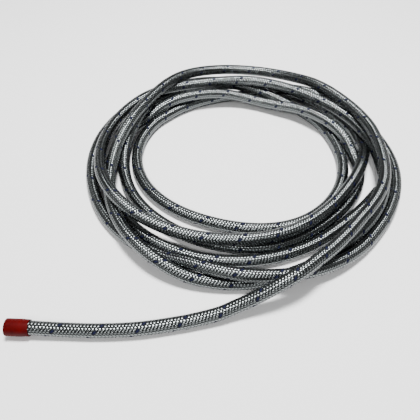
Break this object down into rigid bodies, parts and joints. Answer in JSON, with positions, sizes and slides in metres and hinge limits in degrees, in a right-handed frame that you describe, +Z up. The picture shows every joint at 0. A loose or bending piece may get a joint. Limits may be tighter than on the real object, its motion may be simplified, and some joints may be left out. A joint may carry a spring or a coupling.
{
  "type": "braided fuel hose",
  "caption": "Steel-braided rubber fuel hose lying in a loose flat coil, its free end led out in front and closed by a push-on plastic cap.",
  "frame": {"origin": "middle of the footprint of the coil and its free end, on the floor", "axes": "+Z up, +Y from the free end's side towards the back of the coil, the free end runs out towards -X along the front"},
  "size_m": [0.4398, 0.4506, 0.041],
  "materials": {
    "steel_braid": "woven fine stainless steel wire, semi-bright, with one dark blue tracer strand",
    "red_vinyl": "soft moulded plastic, dull"
  },
  "bodies": {
    "root": {"hose_coil": "steel_braid", "hose_tail": "steel_braid", "end_cap": "red_vinyl"}
  },
  "joints": []
}
